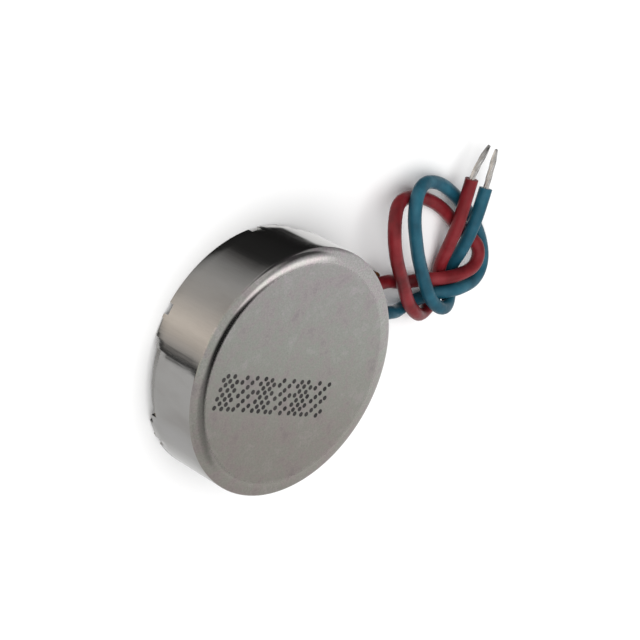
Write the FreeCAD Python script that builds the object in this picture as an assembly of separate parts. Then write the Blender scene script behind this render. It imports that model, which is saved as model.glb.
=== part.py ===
import FreeCAD, Part
import math
import os

# Flat vibration motor of the coin kind, in millimetres.
# The origin is the centre of the rear face, +Z is the spin axis and points out through the closed
# face of the can, and +X is the way the two leads leave the rim.

os.makedirs("parts", exist_ok=True)
V = FreeCAD.Vector
UP = V(0, 0, 1)

# Can: a drawn cup, open at the rear.
motor_diameter = 10.0
motor_height = 2.7
can_wall = 0.22
can_edge_radius = 0.22
can_inner_edge_radius = 0.12
mouth_step = 0.06
shaft_pocket_depth = 0.08

# Rim of the can: three wide gaps with a low shoulder on each side, each between two crimp tabs
# and two relief notches.
rim_gap_count = 3
rim_gap_first_angle = 51.5
rim_gap_half_angle = 16.0
rim_gap_shadow = 0.10
rim_shoulder_half_angle = 20.5
rim_shoulder_height = 0.25
crimp_tab_thickness = 0.16
crimp_tab_reach = 0.50
crimp_tab_offset = 24.5
crimp_tab_half_angle = 4.0
crimp_bend_radius = 0.12
relief_notch_offset = 33.0
relief_notch_half_angle = 2.5
relief_notch_depth = 0.22
exit_notch_clearance = 0.16
exit_notch_headroom = 0.30
exit_feature_margin = 3.0

# End plate: a flat disc with a coined edge, a tongue for the board's tail and a boss for the shaft.
plate_thickness = 0.44
plate_edge_clearance = 0.02
plate_coined_clearance = 0.10
tongue_half_width = 1.05
tongue_overhang = 1.43
tongue_corner_radius = 0.30
boss_radius = 0.75
boss_height = 0.44
shaft_floor = 0.15

# Flexible board, its copper and the joints on its tail.
board_thickness = 0.08
copper_thickness = 0.03
tail_edge_margin = 0.07
tail_beyond_tongue = 0.06
lead_pitch = 1.40
tail_pad_width = 0.56
tail_pad_start = 0.22
tail_pad_margin = 0.22
track_width = 0.30
land_width = 0.40
land_inner_x = 1.30
land_outer_x = 1.90

# Magnet and shaft.
magnet_adhesive_thickness = 0.04
magnet_thickness = 0.70
magnet_inner_radius = 2.45
magnet_wall_clearance = 0.20
shaft_radius = 0.40
shaft_end_clearance = 0.02

# Rotor.
rotor_board_gap = 0.12
rotor_board_thickness = 0.15
rotor_wall_clearance = 0.28
rotor_top_clearance = 0.20
rotor_half_angle = 105.0
rotor_weight_angle = 180.0
rotor_hub_radius = 1.95
coil_cover = 0.12
coil_inner_radius = 1.60
coil_rim_margin = 0.25
coil_half_angle = 27.0
coil_offset_angle = 69.0
coil_winding = 0.72
weight_inner_radius = 2.45
weight_half_angle = 34.0
segment_count = 6
segment_thickness = 0.03
segment_inner_radius = 0.95
segment_outer_radius = 1.75
segment_gap_angle = 7.0

# Bearing.
bearing_clearance = 0.015
bush_outer_radius = 0.80
washer_thickness = 0.10
washer_outer_radius = 0.72
washer_clearance = 0.02
thrust_clearance = 0.02
upper_washer_thickness = 0.08

# Brushes: thin sprung fingers.
brush_thickness = 0.05
brush_width = 0.30
brush_foot_length = 0.50
brush_tip_x = -0.20
brush_tip_length = 0.25
brush_tip_drop = 0.08
brush_contact_gap = 0.02
brush_line_y = 1.15

# Leads and their joints.
lead_diameter = 0.54
core_diameter = 0.28
core_landing = 0.30
exit_clearance = 0.02
exit_rise = 0.02
joint_radius = 0.30
joint_start = 0.14
joint_end = 0.78
glue_start = 0.06
glue_end_margin = 0.29
glue_side_margin = 0.06
glue_height = 0.38
glue_fillet = 0.16
tip_length = 1.62
tip_point_radius = 0.05
tip_point_length = 0.30

# Centre lines of the leads, measured from the rim of the can where they leave it. Over the tongue
# their height follows the board, so the two exit points of each lead give only x and y.
red_exit = [(0.80, 0.70), (1.56, 0.60)]
blue_exit = [(0.80, -0.70), (1.60, -0.84)]
red_route = [
    (2.20, 0.16, 0.52), (2.96, -0.30, 0.28), (3.90, -0.44, 0.44), (4.81, -0.58, 0.87),
    (5.60, -0.62, 1.02), (6.42, -0.62, 0.94), (6.90, -0.08, 0.70), (6.56, 0.54, 0.40),
    (5.96, 1.14, 0.28), (5.44, 1.90, 0.28), (4.80, 2.60, 0.28), (3.96, 3.20, 0.28),
    (2.97, 3.67, 0.55), (2.00, 3.92, 1.00), (1.36, 3.58, 1.48), (1.11, 2.78, 1.72),
    (1.41, 1.71, 1.56), (1.92, 0.56, 1.34), (2.40, -0.62, 1.12), (2.89, -1.32, 1.02),
    (3.72, -2.02, 0.50), (4.57, -1.88, 0.28), (4.97, -1.31, 0.28), (4.93, -0.40, 0.28),
    (5.16, 0.56, 0.60), (5.43, 1.47, 0.84), (5.75, 2.43, 0.92), (6.11, 3.43, 0.96),
]
blue_route = [
    (2.36, -1.30, 0.48), (3.24, -1.30, 0.28), (4.24, -1.20, 0.56), (5.02, -1.18, 1.02),
    (6.00, -1.40, 0.86), (6.90, -1.50, 0.56), (7.44, -1.00, 0.36), (7.40, -0.10, 0.28),
    (7.04, 0.84, 0.28), (6.44, 1.80, 0.28), (5.70, 2.76, 0.30), (4.84, 3.56, 0.40),
    (3.74, 4.10, 0.70), (2.86, 4.04, 1.18), (2.36, 3.36, 1.52), (2.50, 2.32, 1.48),
    (2.88, 1.19, 1.24), (3.27, 0.02, 1.16), (3.57, -0.94, 1.20), (4.18, -1.64, 1.19),
    (4.93, -1.92, 0.85), (5.62, -1.49, 0.30), (5.58, -0.64, 0.28), (5.80, 0.10, 0.66),
    (6.09, 1.00, 0.94), (6.51, 1.82, 0.98), (6.94, 2.71, 0.94),
]
red_tip_aim = V(0.86, 0.56, -0.14)
blue_tip_aim = V(0.50, 0.86, -0.14)

# Worked out from the sizes above.
can_radius = motor_diameter / 2
can_inner_radius = can_radius - can_wall
mouth_radius = can_inner_radius + mouth_step
inner_face = motor_height - can_wall
plate_radius = mouth_radius - plate_edge_clearance
board_low = plate_thickness
copper_low = board_low + board_thickness
copper_top = copper_low + copper_thickness
magnet_low = copper_top + magnet_adhesive_thickness
magnet_top = magnet_low + magnet_thickness
magnet_radius = can_inner_radius - magnet_wall_clearance
rotor_board_low = magnet_top + rotor_board_gap
rotor_board_top = rotor_board_low + rotor_board_thickness
segment_low = rotor_board_low - segment_thickness
rotor_radius = can_inner_radius - rotor_wall_clearance
rotor_top = inner_face - rotor_top_clearance
coil_top = rotor_top - coil_cover
coil_outer_radius = rotor_radius - coil_rim_margin
boss_top = plate_thickness + boss_height
lower_washer_top = boss_top + washer_thickness
bush_low = lower_washer_top + thrust_clearance
upper_washer_low = inner_face - thrust_clearance - upper_washer_thickness
bush_top = upper_washer_low - thrust_clearance
rim_gap_top = plate_thickness + rim_gap_shadow
tail_half_width = tongue_half_width - tail_edge_margin
tail_overhang = tongue_overhang + tail_beyond_tongue
tail_pad_end = tail_overhang - tail_pad_margin
glue_end = tail_overhang - glue_end_margin
glue_half_width = tail_half_width - glue_side_margin
lead_radius = lead_diameter / 2
core_radius = core_diameter / 2
exit_height = copper_top + lead_radius + exit_clearance


def polar(radius, angle, height=0.0):
    """Point at a radius, an angle in degrees and a height."""
    turn = math.radians(angle)
    return V(radius * math.cos(turn), radius * math.sin(turn), height)


def disc(radius, low, top):
    """Plain cylinder on the spin axis between two heights."""
    return Part.makeCylinder(radius, top - low, V(0, 0, low))


def ring(inner, outer, low, top):
    """Flat ring on the spin axis."""
    return disc(outer, low, top).cut(disc(inner, low, top))


def sector(inner, outer, start, stop, low, top):
    """Part of a flat ring between two angles in degrees."""
    middle = (start + stop) / 2
    outer_arc = Part.Arc(polar(outer, start, low), polar(outer, middle, low), polar(outer, stop, low))
    inner_arc = Part.Arc(polar(inner, stop, low), polar(inner, middle, low), polar(inner, start, low))
    side_a = Part.LineSegment(polar(outer, stop, low), polar(inner, stop, low))
    side_b = Part.LineSegment(polar(inner, start, low), polar(outer, start, low))
    wire = Part.Wire([edge.toShape() for edge in (outer_arc, side_a, inner_arc, side_b)])
    return Part.Face(wire).extrude(V(0, 0, top - low))


def block(x_low, x_high, y_low, y_high, z_low, z_high):
    """Box between two corners."""
    return Part.makeBox(x_high - x_low, y_high - y_low, z_high - z_low, V(x_low, y_low, z_low))


def plate_outline(points, low, top):
    """Flat piece with a straight-sided outline of (x, y) points."""
    corners = [V(x, y, low) for x, y in points]
    wire = Part.makePolygon(corners + corners[:1])
    return Part.Face(wire).extrude(V(0, 0, top - low))


def profile_face(edges):
    """Face bounded by a closed run of edges."""
    return Part.Face(Part.Wire([edge.toShape() for edge in edges]))


def line(start, end):
    """Straight edge."""
    return Part.LineSegment(start, end)


def fuse_all(shapes):
    """One solid out of several that touch or overlap."""
    whole = shapes[0].multiFuse(shapes[1:])
    return whole.removeSplitter()


def save(shape, node):
    """Write one piece to its STEP file."""
    shape.exportStep("parts/" + node + ".step")
    print(node, "volume", round(shape.Volume, 4), "valid", shape.isValid(), "solids", len(shape.Solids))


def rounded_sector(inner, outer, start, stop, low, top, corner):
    """Ring sector whose upright edges are rounded."""
    body = sector(inner, outer, start, stop, low, top)
    upright = [e for e in body.Edges if abs(e.tangentAt(e.FirstParameter).z) > 0.99]
    return body.makeFillet(corner, upright)


# Rim pattern, shared by the can's cuts and tabs.
exit_half_width = tongue_half_width + exit_notch_clearance
exit_half_angle = math.degrees(math.asin(exit_half_width / can_radius))
gap_angles = [rim_gap_first_angle + i * 360.0 / rim_gap_count for i in range(rim_gap_count)]


def clear_of_exit(angle, half_angle):
    """True where a rim feature stays off the notch for the leads."""
    turn = (angle + 180.0) % 360.0 - 180.0
    return abs(turn) > exit_half_angle + half_angle + exit_feature_margin


def side_angles(offset, half_angle):
    """Angles of the features on both sides of each gap, without those at the lead exit."""
    angles = [gap + side * offset for gap in gap_angles for side in (-1, 1)]
    return [angle for angle in angles if clear_of_exit(angle, half_angle)]


def make_cup():
    """Drawn cup with a rounded front edge and a stepped mouth."""
    radius = can_radius
    outer_centre = V(radius - can_edge_radius, 0, motor_height - can_edge_radius)
    inner_centre = V(can_inner_radius - can_inner_edge_radius, 0, inner_face - can_inner_edge_radius)
    slant = math.sqrt(0.5)
    pocket_radius = shaft_radius + washer_clearance
    pocket_top = inner_face + shaft_pocket_depth
    p_top = V(0, 0, motor_height)
    p_edge_a = V(outer_centre.x, 0, motor_height)
    p_edge_mid = outer_centre + V(slant, 0, slant) * can_edge_radius
    p_edge_b = V(radius, 0, outer_centre.z)
    p_rim = V(radius, 0, 0)
    p_mouth = V(mouth_radius, 0, 0)
    p_step_a = V(mouth_radius, 0, plate_thickness)
    p_step_b = V(can_inner_radius, 0, plate_thickness)
    p_root_a = V(can_inner_radius, 0, inner_centre.z)
    p_root_mid = inner_centre + V(slant, 0, slant) * can_inner_edge_radius
    p_root_b = V(inner_centre.x, 0, inner_face)
    p_pocket_a = V(pocket_radius, 0, inner_face)
    p_pocket_b = V(pocket_radius, 0, pocket_top)
    p_pocket_c = V(0, 0, pocket_top)
    edges = [
        line(p_top, p_edge_a),
        Part.Arc(p_edge_a, p_edge_mid, p_edge_b),
        line(p_edge_b, p_rim),
        line(p_rim, p_mouth),
        line(p_mouth, p_step_a),
        line(p_step_a, p_step_b),
        line(p_step_b, p_root_a),
        Part.Arc(p_root_a, p_root_mid, p_root_b),
        line(p_root_b, p_pocket_a),
        line(p_pocket_a, p_pocket_b),
        line(p_pocket_b, p_pocket_c),
        line(p_pocket_c, p_top),
    ]
    return profile_face(edges).revolve(V(0, 0, 0), UP, 360)


def make_bend_cutter(angle):
    """What is taken off the rim's outer corner so that a crimp tab turns in with a round bend."""
    bend = crimp_bend_radius
    slant = bend * (1 - math.sqrt(0.5))
    beyond = 0.1
    p_a = V(can_radius - bend, 0, 0)
    p_mid = V(can_radius - slant, 0, slant)
    p_b = V(can_radius, 0, bend)
    p_c = V(can_radius + beyond, 0, bend)
    p_d = V(can_radius + beyond, 0, -beyond)
    p_e = V(can_radius - bend, 0, -beyond)
    edges = [Part.Arc(p_a, p_mid, p_b), line(p_b, p_c), line(p_c, p_d), line(p_d, p_e), line(p_e, p_a)]
    face = profile_face(edges)
    face.rotate(V(0, 0, 0), UP, angle - crimp_tab_half_angle)
    return face.revolve(V(0, 0, 0), UP, 2 * crimp_tab_half_angle)


def make_can():
    """Cup with its rim gaps and their shoulders, relief notches, lead exit and crimp tabs."""
    inside = can_inner_radius - can_wall
    outside = can_radius + can_wall
    below = -1.0
    cuts = []
    for gap in gap_angles:
        start = gap - rim_gap_half_angle
        stop = gap + rim_gap_half_angle
        cuts.append(sector(inside, outside, start, stop, below, rim_gap_top))
        start = gap - rim_shoulder_half_angle
        stop = gap + rim_shoulder_half_angle
        cuts.append(sector(inside, outside, start, stop, below, rim_shoulder_height))
    for angle in side_angles(relief_notch_offset, relief_notch_half_angle):
        start = angle - relief_notch_half_angle
        stop = angle + relief_notch_half_angle
        cuts.append(sector(inside, outside, start, stop, below, relief_notch_depth))
    exit_top = copper_top + exit_notch_headroom
    cuts.append(block(inside - can_wall, outside, -exit_half_width, exit_half_width, below, exit_top))
    can = make_cup().cut(cuts[0].multiFuse(cuts[1:]))
    tabs = []
    bends = []
    for angle in side_angles(crimp_tab_offset, crimp_tab_half_angle):
        start = angle - crimp_tab_half_angle
        stop = angle + crimp_tab_half_angle
        root = (mouth_radius + can_radius) / 2
        tip = mouth_radius - crimp_tab_reach
        tabs.append(sector(tip, root, start, stop, 0, crimp_tab_thickness))
        bends.append(make_bend_cutter(angle))
    can = fuse_all([can] + tabs)
    return can.cut(bends[0].multiFuse(bends[1:]))


def make_end_plate():
    """Disc with a coined edge under the crimp tabs, a tongue and a boss round the shaft."""
    edge_low = crimp_tab_thickness
    centre_radius = mouth_radius - crimp_tab_reach - plate_coined_clearance
    tongue_end = can_radius + tongue_overhang
    tongue = block(centre_radius, tongue_end, -tongue_half_width, tongue_half_width,
                   edge_low, plate_thickness)
    corners = []
    for edge in tongue.Edges:
        middle = edge.CenterOfMass
        upright = abs(edge.tangentAt(edge.FirstParameter).z) > 0.99
        if upright and middle.x > can_radius:
            corners.append(edge)
    tongue = tongue.makeFillet(tongue_corner_radius, corners)
    centre = disc(centre_radius, 0, plate_thickness)
    edge = disc(plate_radius, edge_low, plate_thickness)
    boss = disc(boss_radius, plate_thickness, boss_top)
    bore = disc(shaft_radius, shaft_floor, boss_top + 1.0)
    return fuse_all([centre, edge, tongue, boss]).cut(bore)


def make_flex_board():
    """Thin board: a ring on the end plate and a tail that lies on the tongue."""
    centre_hole = boss_radius + washer_clearance
    tail_end = can_radius + tail_overhang
    tail = block(centre_hole, tail_end, -tail_half_width, tail_half_width, board_low, copper_low)
    corners = []
    for edge in tail.Edges:
        upright = abs(edge.tangentAt(edge.FirstParameter).z) > 0.99
        if upright and edge.CenterOfMass.x > can_radius:
            corners.append(edge)
    tail = tail.makeFillet(tongue_corner_radius, corners)
    whole = fuse_all([disc(magnet_radius, board_low, copper_low), tail])
    return whole.cut(disc(centre_hole, board_low - 1.0, copper_low + 1.0))


def make_copper(side):
    """Inner land, track and tail pad of one pole. side is 1 or -1 across the X axis."""
    pad_y = side * lead_pitch / 2
    land_y = side * brush_line_y
    half_pad = tail_pad_width / 2
    half_land = land_width / 2
    half_track = track_width / 2
    pad_start = can_radius + tail_pad_start
    pad_end = can_radius + tail_pad_end
    bend_x = magnet_inner_radius + land_width
    land = block(land_inner_x, land_outer_x, land_y - half_land, land_y + half_land,
                 copper_low, copper_top)
    pad = block(pad_start, pad_end, pad_y - half_pad, pad_y + half_pad, copper_low, copper_top)
    slant = plate_outline([
        (land_outer_x - half_track, land_y - half_track),
        (bend_x, pad_y - half_track),
        (bend_x, pad_y + half_track),
        (land_outer_x - half_track, land_y + half_track),
    ], copper_low, copper_top)
    straight = block(bend_x - copper_thickness, pad_start + copper_thickness,
                     pad_y - half_track, pad_y + half_track, copper_low, copper_top)
    return fuse_all([land, slant, straight, pad])


def make_brush(side):
    """Bent strip: a foot on the land, a rising finger and a tip that curls down."""
    half = brush_thickness / 2
    foot_z = copper_top + half
    peak_z = segment_low - brush_contact_gap - half
    land_middle = (land_inner_x + land_outer_x) / 2
    foot_end = land_middle + brush_foot_length / 2
    foot_start = land_middle - brush_foot_length / 2
    tip_end = brush_tip_x - brush_tip_length
    tip_z = peak_z - brush_tip_drop
    points = [(foot_end, foot_z), (foot_start, foot_z), (brush_tip_x, peak_z), (tip_end, tip_z)]
    lower = [V(x, 0, z - half) for x, z in points]
    upper = [V(x, 0, z + half) for x, z in reversed(points)]
    face = Part.Face(Part.makePolygon(lower + upper + lower[:1]))
    strip = face.extrude(V(0, brush_width, 0))
    strip.translate(V(0, side * brush_line_y - brush_width / 2, 0))
    return strip


def make_coil(side):
    """Flat wound coil with rounded corners on one side of the weight."""
    middle = rotor_weight_angle + side * coil_offset_angle
    start = middle - coil_half_angle
    stop = middle + coil_half_angle
    body = rounded_sector(coil_inner_radius, coil_outer_radius, start, stop,
                          rotor_board_top, coil_top, coil_winding / 2)
    core_inner = coil_inner_radius + coil_winding
    core_outer = coil_outer_radius - coil_winding
    mean_radius = (core_inner + core_outer) / 2
    turn = math.degrees(coil_winding / mean_radius)
    core = rounded_sector(core_inner, core_outer, start + turn, stop - turn,
                          rotor_board_top - 1.0, coil_top + 1.0, coil_winding / 6)
    return body.cut(core)


def make_weight():
    """Heavy segment between the coils, flush with the moulding's rim."""
    start = rotor_weight_angle - weight_half_angle
    stop = rotor_weight_angle + weight_half_angle
    return sector(weight_inner_radius, rotor_radius, start, stop, rotor_board_top, rotor_top)


def rotor_blank(radius, low, top):
    """Half-moon with a round hub, bored for the bush."""
    start = rotor_weight_angle - rotor_half_angle
    stop = rotor_weight_angle + rotor_half_angle
    moon = sector(bush_outer_radius, radius, start, stop, low, top)
    hub = ring(bush_outer_radius, rotor_hub_radius, low, top)
    return fuse_all([moon, hub])


def make_commutator():
    """Flat segments under the rotor board, one group of separate solids."""
    pitch = 360.0 / segment_count
    pieces = []
    for i in range(segment_count):
        start = i * pitch + segment_gap_angle / 2
        stop = (i + 1) * pitch - segment_gap_angle / 2
        pieces.append(sector(segment_inner_radius, segment_outer_radius, start, stop,
                             segment_low, rotor_board_low))
    return Part.makeCompound(pieces)


def bent_path(points):
    """Straight runs joined by tangent arcs, and the arcs' radii.

    Each arc touches its two runs at 0.45 of the shorter run from their corner.
    """
    edges = []
    radii = []
    start = points[0]
    for before, corner, after in zip(points, points[1:], points[2:]):
        back = before - corner
        ahead = after - corner
        reach = 0.45 * min(back.Length, ahead.Length)
        back.normalize()
        ahead.normalize()
        touch_a = corner + back * reach
        touch_b = corner + ahead * reach
        half_turn = (math.pi - back.getAngle(ahead)) / 2
        radius = reach / math.tan(half_turn)
        inward = back + ahead
        inward.normalize()
        middle = corner + inward * (radius / math.cos(half_turn) - radius)
        edges.append(line(start, touch_a).toShape())
        edges.append(Part.Arc(touch_a, middle, touch_b).toShape())
        radii.append(radius)
        start = touch_b
    edges.append(line(start, points[-1]).toShape())
    return Part.Wire(edges), radii


def make_tube(points, radius, name):
    """Round section carried along a bent path."""
    path, radii = bent_path(points)
    section = Part.Wire(Part.makeCircle(radius, points[0], points[1] - points[0]))
    tube = path.makePipeShell([section], True, False)
    expected = math.pi * radius ** 2 * path.Length
    share = round(tube.Volume / expected, 4)
    print(name, "length", round(path.Length, 3), "radii", [round(r, 2) for r in radii])
    print(name, "smallest radius", round(min(radii), 2), "volume", share, "of expected")
    return tube


def placed(exit_points, route):
    """A lead's points, carried from the rim of the can to the motor's own frame."""
    (start_x, start_y), (over_x, over_y) = exit_points
    start = V(can_radius + start_x, start_y, exit_height)
    over_tongue = V(can_radius + over_x, over_y, exit_height + exit_rise)
    return [start, over_tongue] + [V(can_radius + x, y, z) for x, y, z in route]


def make_core_end(points, name):
    """Bare core from the lead's cut face down onto its tail pad."""
    start = points[0]
    back = points[0] - points[1]
    back.normalize()
    low = copper_top + core_radius
    landing_x = start.x - core_landing
    end_x = can_radius + joint_start + core_radius
    path = [start, start + back * core_radius, V(landing_x, start.y, low), V(end_x, start.y, low)]
    return make_tube(path, core_radius, name)


def make_joint(start, core):
    """Solder mound over a core end: a lying half cylinder with round ends."""
    x_low = can_radius + joint_start + joint_radius
    x_high = can_radius + joint_end - joint_radius
    base = V(x_low, start.y, copper_top)
    barrel = Part.makeCylinder(joint_radius, x_high - x_low, base, V(1, 0, 0))
    end_a = Part.makeSphere(joint_radius, base)
    end_b = Part.makeSphere(joint_radius, V(x_high, start.y, copper_top))
    mound = fuse_all([barrel, end_a, end_b])
    under = block(x_low - 1.0, x_high + 1.0, start.y - 1.0, start.y + 1.0, copper_top - 1.0, copper_top)
    return mound.cut(under).cut(core)


def make_glue(inside_pieces):
    """Bead of glue over the joints, moulded round all that it covers."""
    x_low = can_radius + glue_start
    x_high = can_radius + glue_end
    bead = block(x_low, x_high, -glue_half_width, glue_half_width, copper_low, copper_top + glue_height)
    rounded = [e for e in bead.Edges if e.CenterOfMass.z > copper_top]
    bead = bead.makeFillet(glue_fillet, rounded)
    for piece in inside_pieces:
        bead = bead.cut(piece)
    return bead


def make_tip(points, aim, name):
    """Tinned strands: a slim rod that leaves the lead's end and runs out to a blunt point."""
    start = points[-1]
    heading = points[-1] - points[-2]
    heading.normalize()
    aim = V(aim)
    aim.normalize()
    straight = tip_length / 4
    bend = start + heading * straight
    point = bend + aim * (tip_length - straight)
    rod_end = point - aim * tip_point_length
    print(name, "end", point)
    rod = make_tube([start, bend, rod_end], core_radius, name)
    cone = Part.makeCone(core_radius, tip_point_radius, tip_point_length, rod_end, aim)
    return fuse_all([rod, cone])


# Casing.
can = make_can()
end_plate = make_end_plate()
save(can, "can")
save(end_plate, "end_plate")
save(disc(shaft_radius, shaft_floor, inner_face + shaft_pocket_depth - shaft_end_clearance), "shaft")

# Board and its copper.
save(make_flex_board(), "brush_board")
save(make_copper(1), "copper_positive")
save(make_copper(-1), "copper_negative")

# Magnet.
save(ring(magnet_inner_radius, magnet_radius, copper_top, magnet_low), "magnet_adhesive")
save(ring(magnet_inner_radius, magnet_radius, magnet_low, magnet_top), "ring_magnet")

# Brushes and washers.
save(make_brush(1), "brush_positive")
save(make_brush(-1), "brush_negative")
washer_hole = shaft_radius + washer_clearance
save(ring(washer_hole, washer_outer_radius, boss_top, lower_washer_top), "lower_thrust_washer")
save(ring(washer_hole, washer_outer_radius, upper_washer_low, upper_washer_low + upper_washer_thickness),
     "upper_thrust_washer")

# Rotor.
coil_a = make_coil(1)
coil_b = make_coil(-1)
weight = make_weight()
moulding = rotor_blank(rotor_radius, rotor_board_top, rotor_top).cut(coil_a).cut(coil_b).cut(weight)
save(ring(shaft_radius + bearing_clearance, bush_outer_radius, bush_low, bush_top), "bearing_bush")
save(rotor_blank(rotor_radius, rotor_board_low, rotor_board_top), "rotor_board")
save(make_commutator(), "commutator_segments")
save(coil_a, "coil_a")
save(coil_b, "coil_b")
save(weight, "counterweight")
save(moulding, "rotor_moulding")

# Leads, joints and glue.
covered = []
poles = (("red", red_exit, red_route, red_tip_aim), ("blue", blue_exit, blue_route, blue_tip_aim))
for colour, exit_points, route, aim in poles:
    points = placed(exit_points, route)
    lead = make_tube(points, lead_radius, colour + "_lead")
    core = make_core_end(points, colour + "_core_end")
    joint = make_joint(points[0], core)
    save(lead, colour + "_lead")
    save(core, colour + "_core_end")
    save(joint, colour + "_solder_joint")
    save(make_tip(points, aim, colour + "_tinned_tip"), colour + "_tinned_tip")
    covered.extend([lead, core, joint])
covered.extend([make_copper(1), make_copper(-1)])
save(make_glue(covered), "glue_bead")
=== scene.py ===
import math

import bmesh
import bpy
import numpy as np
from mathutils import Matrix, Vector


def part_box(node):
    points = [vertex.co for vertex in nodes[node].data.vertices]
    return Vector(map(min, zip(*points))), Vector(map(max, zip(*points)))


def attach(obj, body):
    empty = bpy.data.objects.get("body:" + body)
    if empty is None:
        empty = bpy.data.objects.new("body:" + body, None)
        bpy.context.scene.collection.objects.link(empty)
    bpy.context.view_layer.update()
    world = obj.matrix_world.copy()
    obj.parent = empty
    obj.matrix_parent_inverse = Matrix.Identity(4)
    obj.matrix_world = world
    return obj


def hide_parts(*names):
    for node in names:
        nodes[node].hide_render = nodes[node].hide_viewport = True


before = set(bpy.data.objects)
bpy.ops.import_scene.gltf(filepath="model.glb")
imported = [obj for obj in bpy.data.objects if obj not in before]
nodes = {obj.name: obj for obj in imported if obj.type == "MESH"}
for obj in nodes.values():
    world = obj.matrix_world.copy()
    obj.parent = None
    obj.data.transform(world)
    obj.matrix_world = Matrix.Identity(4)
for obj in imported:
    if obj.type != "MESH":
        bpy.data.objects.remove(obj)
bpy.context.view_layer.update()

# ---------------------------------------------------------------------------------------------
# Camera. A long lens looks down on the motor from its rear left, and is turned about its own line
# of sight so that the coin leans and the leads run up to the right.
view_aim = Vector((0.00252, 0.00073, 0.00135))
view_distance = 0.09478
view_heading = math.radians(138.30)
view_height = math.radians(39.54)
view_roll = math.radians(118.30)
towards_camera = Vector((
    math.cos(view_heading) * math.cos(view_height),
    math.sin(view_heading) * math.cos(view_height),
    math.sin(view_height),
))
camera_data = bpy.data.cameras.new("camera")
camera_data.lens = 140.6
camera_data.sensor_width = 36.0
camera_data.clip_start = 0.001
camera = bpy.data.objects.new("camera", camera_data)
bpy.context.scene.collection.objects.link(camera)
level_view = towards_camera.to_track_quat("Z", "Y").to_matrix().to_4x4()
camera.matrix_world = (
    Matrix.Translation(view_aim + towards_camera * view_distance)
    @ level_view
    @ Matrix.Rotation(view_roll, 4, "Z")
)
bpy.context.scene.camera = camera
bpy.context.scene.view_settings.view_transform = "Standard"

# ---------------------------------------------------------------------------------------------
# Table top. A pale matt sheet that the motor lies on. Polished metal doesn't mirror it, so that
# the can shows the studio's cards instead.
floor_half = 1.5
floor_data = bpy.data.meshes.new("table_top")
floor_data.from_pydata(
    [(x * floor_half, y * floor_half, 0) for x, y in ((-1, -1), (1, -1), (1, 1), (-1, 1))],
    [],
    [(0, 1, 2, 3)],
)
floor = bpy.data.objects.new("table_top", floor_data)
bpy.context.scene.collection.objects.link(floor)
floor.visible_glossy = False


def new_material(name, metallic, roughness):
    """Empty node material with a shader of that metallic share and roughness."""
    made = bpy.data.materials.new(name)
    made.use_nodes = True
    shader = made.node_tree.nodes["Principled BSDF"]
    shader.inputs["Metallic"].default_value = metallic
    shader.inputs["Roughness"].default_value = roughness
    return made, made.node_tree, shader


def cloud(tree, scale, detail=3.0, stretch=(1.0, 1.0, 1.0), softness=0.5):
    """Noise over the object's own coordinates, scale being its features per metre, times stretch."""
    place = tree.nodes.new("ShaderNodeTexCoord")
    mapping = tree.nodes.new("ShaderNodeMapping")
    mapping.inputs["Scale"].default_value = stretch
    noise = tree.nodes.new("ShaderNodeTexNoise")
    noise.inputs["Scale"].default_value = scale
    noise.inputs["Detail"].default_value = detail
    noise.inputs["Roughness"].default_value = softness
    tree.links.new(place.outputs["Object"], mapping.inputs["Vector"])
    tree.links.new(mapping.outputs["Vector"], noise.inputs["Vector"])
    return noise.outputs["Fac"]


def tones(tree, source, stops, target):
    """Colour ramp from a source to a socket; stops are (place, (red, green, blue))."""
    ramp = tree.nodes.new("ShaderNodeValToRGB")
    while len(ramp.color_ramp.elements) < len(stops):
        ramp.color_ramp.elements.new(0.5)
    for element, (place, colour) in zip(ramp.color_ramp.elements, stops):
        element.position = place
        element.color = (*colour, 1.0)
    tree.links.new(source, ramp.inputs["Fac"])
    tree.links.new(ramp.outputs["Color"], target)
    return ramp.outputs["Color"]


def spread(tree, source, low, high, target):
    """Noise brought from its usual 0.3 to 0.7 to a range of low to high."""
    fit = tree.nodes.new("ShaderNodeMapRange")
    fit.inputs["From Min"].default_value = 0.3
    fit.inputs["From Max"].default_value = 0.7
    fit.inputs["To Min"].default_value = low
    fit.inputs["To Max"].default_value = high
    tree.links.new(source, fit.inputs["Value"])
    tree.links.new(fit.outputs["Result"], target)


def relief(tree, shader, source, depth, strength=1.0):
    """Bump from a source, depth in metres from its lowest to its highest."""
    bump = tree.nodes.new("ShaderNodeBump")
    bump.inputs["Distance"].default_value = depth
    bump.inputs["Strength"].default_value = strength
    tree.links.new(source, bump.inputs["Height"])
    tree.links.new(bump.outputs["Normal"], shader.inputs["Normal"])
    return bump


paper, paper_tree, paper_shader = new_material("table_paper", 0.0, 0.9)
tones(
    paper_tree,
    cloud(paper_tree, 180.0),
    [(0.3, (0.93, 0.93, 0.93)), (0.7, (0.95, 0.95, 0.95))],
    paper_shader.inputs["Base Color"],
)
floor_data.materials.append(paper)

# ---------------------------------------------------------------------------------------------
# Studio. One wide soft lamp overhead, and a surround whose white and black cards are what the
# bright metal mirrors. Matt surfaces only see its even white.
lamp_data = bpy.data.lights.new("overhead_lamp", "AREA")
lamp_data.shape = "DISK"
lamp_data.size = 0.9
lamp_data.energy = 3.0
lamp = bpy.data.objects.new("overhead_lamp", lamp_data)
bpy.context.scene.collection.objects.link(lamp)
lamp_distance = 0.5
lamp_heading = Vector((-0.35, 0.10, 0.93))
lamp_turn = lamp_heading.to_track_quat("Z", "Y").to_matrix().to_4x4()
lamp.matrix_world = Matrix.Translation(lamp_heading * lamp_distance) @ lamp_turn
lamp.visible_glossy = False

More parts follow.
